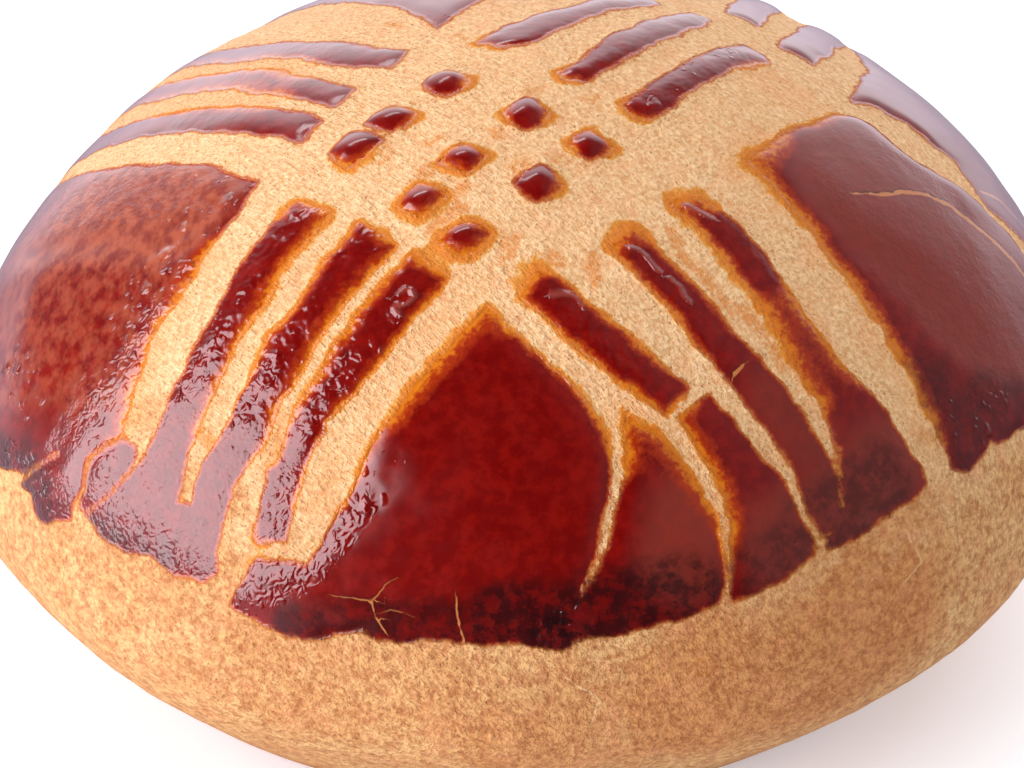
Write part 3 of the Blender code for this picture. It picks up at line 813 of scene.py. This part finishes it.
def dough_looks(n, place, skin, reach):
    """Return the bare dough's colour, pale on top and golden on the side with painted shade low on the
    front, and its fine height.
    """
    grains = n.ramp(n.noise(place, 2.5, 2.0, 0.7), 0.28, 0.72)
    fibres = n.noise(fibre_place(n, place), 1.0, 2.0, 0.65)
    blotches = n.ramp(n.noise(place, 0.24, 2.0, 0.6), 0.38, 0.64)
    streaks = n.math("MULTIPLY", n.ramp(fibres, 0.3, 0.7), 0.3)
    grain = n.math("ADD", n.math("MULTIPLY", grains, 0.7), streaks)
    top = n.mix(grain, srgb(206, 146, 90), srgb(242, 206, 158))
    crumbs = n.ramp(n.noise(place, 1.2, 2.0, 0.75), 0.34, 0.66)
    crumbs = n.math("ADD", n.math("MULTIPLY", crumbs, 0.5), n.math("MULTIPLY", grain, 0.5))
    side = n.mix(crumbs, srgb(170, 97, 48), srgb(234, 192, 130))
    # A darker golden tone, used both for random blotches and for the painted shade low on the front.
    blotch_and_shade_gold = n.mix(crumbs, srgb(158, 86, 40), srgb(216, 148, 84))
    side = n.mix(n.math("MULTIPLY", blotches, 0.4), side, blotch_and_shade_gold)
    # Painted shade: this mark darkens the bare dough low on the front side, most on the front right.
    side = n.mix(n.mark("front_shade"), side, blotch_and_shade_gold)
    down = n.ramp(n.math("ADD", reach, n.math("MULTIPLY", blotches, 8.0)), 46.0, 60.0)
    colour = n.mix(down, top, side)
    blush = n.ramp(n.noise(place, 0.45, 1.0), 0.5, 0.75, 0.0, 0.25)
    colour = n.mix(blush, colour, srgb(226, 150, 104))
    colour = n.mix(n.ramp(reach, 80.0, 92.0), colour, srgb(168, 104, 52))
    near_edge = n.math("MULTIPLY", n.ramp(n.mark("glaze"), -1.6, -0.4), 0.2)
    crowd = n.math("ADD", n.noise(place, 0.6, 1.0), near_edge)
    pits = n.cells(skin, 1.5)["Distance"]
    pits = n.math("MULTIPLY", n.ramp(pits, 0.2, 0.02), n.ramp(crowd, 0.52, 0.7))
    colour = n.mix(n.math("MULTIPLY", pits, 0.6), colour, srgb(148, 88, 46))
    height = n.math("ADD", n.math("MULTIPLY", grain, 0.1), n.math("MULTIPLY", fibres, 0.2))
    return colour, n.math("SUBTRACT", height, n.math("MULTIPLY", pits, 0.06))


def fibre_place(n, place):
    """Return co-ordinates that draw the dough's fibres out from the back left to the front right."""
    settings = {"Vector": place, "Rotation": (0.0, 0.0, FIBRE_TURN), "Scale": FIBRE_SIZE}
    return n.add("ShaderNodeMapping", settings, vector_type="TEXTURE").outputs[0]


def wash_colour(n, place, depth, thin, burn, cloud, dull):
    """Return the colour of the egg wash: amber at a thin edge, red-brown where thick."""
    mottle = n.ramp(n.noise(place, 0.8, 3.0, 0.66), 0.36, 0.68)
    deep = n.mix(mottle, srgb(104, 3, 2), srgb(124, 11, 5))
    deep = n.mix(n.math("MULTIPLY", dull, 0.75), deep, srgb(132, 54, 40))
    stretch = {0: place, 1: (1.0, 0.7, 0.9)}
    stretched = n.add("ShaderNodeVectorMath", stretch, operation="MULTIPLY").outputs[0]
    puffs = n.math("MULTIPLY", n.ramp(n.noise(stretched, 0.8, 2.0, 0.62), 0.32, 0.7), cloud)
    deep = n.mix(n.math("MULTIPLY", puffs, 0.8), deep, srgb(176, 88, 58))
    room = n.math("ADD", 0.35, n.math("MULTIPLY", thin, 3.2))
    uneven = n.math("SUBTRACT", n.noise(place, 1.8, 2.0, 0.7), 0.5)
    share = n.math("DIVIDE", n.math("ADD", depth, n.math("MULTIPLY", uneven, thin)), room)
    share = n.math("ADD", share, n.math("MULTIPLY", uneven, 0.7), clamp=True)
    start = n.mix(n.ramp(thin, 0.0, 0.2), srgb(168, 84, 40), srgb(*AMBER))
    edge = n.mix(n.ramp(share, 0.0, 0.45), start, srgb(156, 46, 12))
    colour = n.mix(n.ramp(share, 0.3, 1.0), edge, deep)
    scorch = n.math("MULTIPLY", burn, n.ramp(n.noise(place, 0.7, 3.0, 0.7), 0.35, 0.6, 0.3, 1.0))
    return n.mix(scorch, colour, srgb(34, 6, 8))


def domes(n, skin, scale, least):
    """Return the height of round domes, from 0 to 1; cells whose share is under the least have none."""
    cells = n.cells(skin, scale)
    share = n.add("ShaderNodeSeparateColor", {"Color": cells["Color"]}).outputs[0]
    size = n.ramp(share, least, 1.0, 0.02, 0.5)
    ratio = n.math("DIVIDE", cells["Distance"], size)
    dome = n.math("SUBTRACT", 1.0, n.math("POWER", ratio, 2.0), clamp=True)
    return n.math("MULTIPLY", n.math("POWER", dome, 1.6), n.math("MULTIPLY", size, 2.0))


def blisters(n, skin, zone_mark):
    """Return the height of large and small domes scattered in a zone, and the bent skin."""
    inputs = {"Vector": skin, "Scale": 1.2, "Detail": 0.0}
    wobble = n.add("ShaderNodeTexNoise", inputs, noise_dimensions="2D").outputs["Color"]
    bend = (0.6, 0.6, 0.0)
    bent = n.add("ShaderNodeVectorMath", {0: wobble, 1: bend, 2: skin}, operation="MULTIPLY_ADD").outputs[0]
    small = n.math("MULTIPLY", domes(n, bent, 1.3, 0.7), 0.5)
    return n.math("MULTIPLY", n.math("ADD", domes(n, bent, 0.52, 0.7), small), zone_mark), bent


def curl_height(n):
    """Return the height of the raised curls, from 0 to 1."""
    width = n.mark("curl_width")
    room = n.math("SUBTRACT", width, n.math("ABSOLUTE", n.mark("curl_gap")))
    return n.math("MULTIPLY", n.ramp(room, -0.15, 0.3), n.ramp(width, 0.0, 0.15))


def fine_relief(n, place, skin, crumb, curl_and_highlight):
    """Return the height of the surface's finest relief in millimetres."""
    bumps, bent = blisters(n, skin, n.mark("blister"))
    folds = n.add(
        "ShaderNodeTexNoise",
        {"Vector": bent, "Scale": 1.5, "Detail": 2.0, "Roughness": 0.5},
        noise_type="RIDGED_MULTIFRACTAL",
        noise_dimensions="2D",
    ).outputs["Fac"]
    folds = n.math("MULTIPLY", n.math("MULTIPLY", folds, n.mark("crinkle")), 0.11)
    swells = n.noise(place, 0.9, 1.0)
    waves = n.math("MULTIPLY", n.math("MULTIPLY", swells, n.mark("wave")), 0.26)
    puckers = n.math("MULTIPLY", n.noise(place, 3.0, 1.0), 0.06)
    puckers = n.math("ADD", puckers, n.math("MULTIPLY", swells, 0.12))
    puckers = n.math("MULTIPLY", puckers, n.mark("satin"))
    crust = n.math("ADD", n.math("ADD", waves, puckers), folds)
    crust = n.math("ADD", crust, n.math("MULTIPLY", bumps, 0.26))
    crust = n.math("ADD", crust, n.math("MULTIPLY", curl_and_highlight, 0.16))
    washed = n.ramp(n.mark("glaze"), -0.3, 0.3)
    return n.add("ShaderNodeMix", {0: washed, 2: crumb, 3: crust}, data_type="FLOAT").outputs[0]


def hairline_looks(n, place, rag):
    """Return where a hairline is drawn (it bares the dough in the wash, and is a painted fibre highlight on
    the bare dough), and where its raised lip throws a shade.
    """
    width = n.mark("hair_width")
    drawn = n.ramp(width, 0.0, 0.08)
    offset = n.math("ADD", n.mark("hair_gap"), n.math("MULTIPLY", rag, 0.3))
    breaks = n.math("MULTIPLY", n.ramp(n.noise(place, 0.7, 2.0), 0.3, 0.5, -0.1, 0.04), drawn)
    room = n.math("SUBTRACT", n.math("MULTIPLY", width, 0.5), n.math("ABSOLUTE", offset))
    room = n.math("ADD", room, breaks)
    crack_and_fibre_highlight = n.math("MULTIPLY", n.ramp(room, -0.08, 0.06), drawn)
    lip = n.math("SUBTRACT", offset, n.math("MULTIPLY", width, 0.6))
    shade = n.math("MULTIPLY", n.ramp(n.math("ABSOLUTE", lip), 0.25, 0.05), drawn)
    return crack_and_fibre_highlight, shade


def crust_material():
    """Return the material of the baked dough and its egg wash."""
    material = bpy.data.materials.new("baked_crust")
    material.use_nodes = True
    tree = material.node_tree
    tree.nodes.clear()
    n = Nodes(tree)
    place = n.add("ShaderNodeTexCoord").outputs["Object"]
    place = n.add("ShaderNodeVectorMath", {0: place, "Scale": 1 / MM}, operation="SCALE").outputs[0]
    skin = n.add("ShaderNodeCombineXYZ", {"X": n.mark("skin_u"), "Y": n.mark("skin_v")}).outputs[0]
    rag = n.math("SUBTRACT", n.noise(place, 1.6, 3.0, 0.65), 0.5)
    depth = n.math("ADD", n.mark("glaze"), n.math("MULTIPLY", rag, 0.8))
    lobes = n.math("SUBTRACT", n.noise(place, 0.8, 3.0, 0.6), 0.5)
    flecks = n.math("SUBTRACT", n.noise(place, 1.6, 2.0, 0.75), 0.5)
    smudge = n.ramp(n.math("ADD", n.mark("smudge"), n.math("MULTIPLY", flecks, 1.6)), 0.3, 0.95, 0.0, 0.75)
    reach = n.math("MULTIPLY", n.mark("halo"), n.ramp(lobes, -0.25, 0.25, 0.5, 1.3))
    past = n.math("DIVIDE", n.math("ADD", depth, 0.1), n.math("ADD", reach, 0.15))
    halo = n.math("ADD", past, 1.0, clamp=True)
    opacity = n.ramp(halo, 0.0, 0.55, 0.0, 0.95)
    thin = n.math("MULTIPLY", n.mark("thin"), n.ramp(lobes, -0.3, 0.3, 0.6, 1.2))
    gloss = n.ramp(depth, -0.15, 0.1)
    crack_and_fibre_highlight, shade = hairline_looks(n, place, rag)

    dough, crumb = dough_looks(n, place, skin, n.mark("reach"))
    # Painted highlight: pale lines along raised fibres on the bare dough.
    dough = n.mix(n.math("MULTIPLY", crack_and_fibre_highlight, 0.35), dough, srgb(252, 220, 168))
    dough = n.mix(n.math("MULTIPLY", thin, 0.5), dough, srgb(226, 146, 78))
    dough = n.mix(smudge, dough, srgb(208, 126, 50))
    amber = n.mix(n.ramp(halo, 0.25, 0.9), srgb(214, 144, 48), srgb(*AMBER))
    dough = n.mix(opacity, dough, amber)
    spread_out = n.math("ADD", thin, n.math("MULTIPLY", n.mark("halo"), 0.24))
    wash = wash_colour(n, place, depth, spread_out, n.mark("burn"), n.mark("cloud"), n.mark("dull"))
    curl_and_highlight = curl_height(n)
    # Painted highlight: a lighter mauve-red tint laid along the raised curls.
    wash = n.mix(n.math("MULTIPLY", curl_and_highlight, 0.5), wash, srgb(160, 78, 66))
    wash = n.mix(n.math("MULTIPLY", shade, 0.6), wash, srgb(62, 14, 12))
    wash = n.mix(n.math("MULTIPLY", crack_and_fibre_highlight, 0.85), wash, srgb(200, 124, 66))
    colour = n.mix(n.ramp(depth, -0.4, 0.1), dough, wash)
    height = fine_relief(n, place, skin, crumb, curl_and_highlight)
    bump = n.add("ShaderNodeBump", {"Height": height, "Strength": 1.0, "Distance": MM}).outputs[0]

    shine = n.ramp(n.noise(place, 0.5, 1.0), 0.3, 0.7, 0.12, 0.22)
    shine = n.math("ADD", shine, n.math("MULTIPLY", n.mark("satin"), 0.08))
    rough = n.add("ShaderNodeMix", {0: gloss, 2: 0.65, 3: shine}, data_type="FLOAT").outputs[0]
    shader = n.add("ShaderNodeBsdfPrincipled", {"Base Color": colour, "Roughness": rough, "Normal": bump})
    shader.inputs["IOR"].default_value = 1.5
    shader.inputs["Specular IOR Level"].default_value = 0.3
    shader.inputs["Coat Roughness"].default_value = 0.15
    shader.inputs["Coat IOR"].default_value = 1.52
    tree.links.new(gloss, shader.inputs["Coat Weight"])
    tree.links.new(bump, shader.inputs["Coat Normal"])
    output = n.add("ShaderNodeOutputMaterial")
    tree.links.new(shader.outputs[0], output.inputs["Surface"])
    return material


def glowing_material(name, colour, roughness, glow):
    """Return a material of one colour that glows a little, for the floor."""
    material = bpy.data.materials.new(name)
    material.use_nodes = True
    shader = material.node_tree.nodes["Principled BSDF"]
    shader.inputs["Base Color"].default_value = colour
    shader.inputs["Roughness"].default_value = roughness
    shader.inputs["Emission Color"].default_value = colour
    shader.inputs["Emission Strength"].default_value = glow
    return material


def floor():
    """Add the pale floor under the bun."""
    bpy.ops.mesh.primitive_plane_add(size=FLOOR_SIZE, location=(0.0, 0.0, 0.0))
    ground = bpy.context.object
    ground.name = "floor"
    ground.data.materials.append(glowing_material("floor_white", srgb(243, 246, 252), 0.7, 0.32))
    ground.visible_glossy = False


def aim(thing, place, target):
    """Put an object at a place, with its -Z axis on the target."""
    thing.location = place
    thing.rotation_euler = (Vector(target) - Vector(place)).to_track_quat("-Z", "Y").to_euler()


def soft_light(name, azimuth, elevation, distance, size, radiance, colour, glossy):
    """Add a rectangular softbox that faces the bun; radiance is in units of a white surface."""
    light = bpy.data.lights.new(name, "AREA")
    light.shape = "RECTANGLE"
    light.size, light.size_y = size
    light.energy = radiance * math.pi * size[0] * size[1]
    light.color = colour
    thing = bpy.data.objects.new(name, light)
    bpy.context.scene.collection.objects.link(thing)
    turn = math.radians(azimuth)
    rise = math.radians(elevation)
    place = Vector((math.cos(turn) * math.cos(rise), math.sin(turn) * math.cos(rise), math.sin(rise)))
    aim(thing, place * distance, (0.0, 0.0, LIGHT_TARGET_HEIGHT))
    thing.visible_glossy = glossy
    return thing


def studio():
    """Light the scene: a white room that is darker on the camera's side, and soft boxes."""
    world = bpy.data.worlds.new("studio")
    bpy.context.scene.world = world
    world.use_nodes = True
    tree = world.node_tree
    tree.nodes.clear()
    n = Nodes(tree)
    way = n.add("ShaderNodeTexCoord").outputs["Generated"]
    parts = n.add("ShaderNodeSeparateXYZ", {0: way}).outputs
    sideways = parts["X"]
    rise = parts["Z"]
    back = n.facing(way, (-0.12, 0.98, 0.12))
    wall = n.math("MULTIPLY", n.ramp(back, 0.25, 0.95, 0.0, 1.5), n.ramp(rise, 0.45, 0.8, 1.0, 0.1))
    wall = n.math("MULTIPLY", wall, n.ramp(sideways, -0.8, -0.38, 0.15, 1.0))
    shaded = n.math("MULTIPLY", n.ramp(sideways, 0.2, 0.6, 0.0, 0.45), n.ramp(rise, 0.0, 0.25))
    wall = n.math("MULTIPLY", wall, n.math("SUBTRACT", 1.0, shaded))
    wall = n.math("MULTIPLY", wall, n.ramp(rise, -0.5, 0.05, 0.34, 1.0))
    haze = n.math("MULTIPLY", n.ramp(rise, 0.15, -0.2, 0.0, 0.7), n.ramp(sideways, -0.35, -0.75))
    wall = n.math("MAXIMUM", wall, haze)
    tint = n.mix(n.ramp(rise, -0.5, 0.1), (0.95, 0.82, 1.0, 1.0), (0.97, 0.94, 1.0, 1.0))
    room = n.ramp(n.facing(way, (0.9, -0.1, 0.4)), 0.3, 0.95, 0.02, 0.2)
    light = n.add("ShaderNodeBackground", {"Color": tint, "Strength": n.math("ADD", wall, room)})
    output = n.add("ShaderNodeOutputWorld")
    tree.links.new(light.outputs[0], output.inputs["Surface"])

    for name, azimuth, elevation, distance, size, radiance, colour, glossy in LIGHTS:
        soft_light(name, azimuth, elevation, distance, size, radiance, colour, glossy)


def camera(middle):
    """Add the camera at the photo's angle, and make it the scene's."""
    data = bpy.data.cameras.new("camera")
    data.sensor_width = SENSOR_WIDTH
    data.lens = FOCAL_PIXELS * SENSOR_WIDTH / IMAGE_WIDTH
    data.shift_x = -CENTRE_RIGHT / IMAGE_WIDTH
    data.shift_y = CENTRE_DOWN / IMAGE_WIDTH
    data.clip_start = 0.01
    thing = bpy.data.objects.new("camera", data)
    bpy.context.scene.collection.objects.link(thing)
    target = Vector((-middle[0], -middle[1], LOWER_HEIGHT)) * MM
    back = Vector((0.0, -math.cos(CAMERA_ELEVATION), math.sin(CAMERA_ELEVATION)))
    aim(thing, target + back * CAMERA_DISTANCE * MM, target)
    bpy.context.scene.camera = thing


def main():
    """Dress the bun and set the stage."""
    bun, middle = bun_mesh()
    bun.data.materials.append(crust_material())
    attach(bun, "root")
    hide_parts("bun")
    floor()
    studio()
    camera(middle)
    bpy.context.scene.view_settings.view_transform = "Standard"


main()
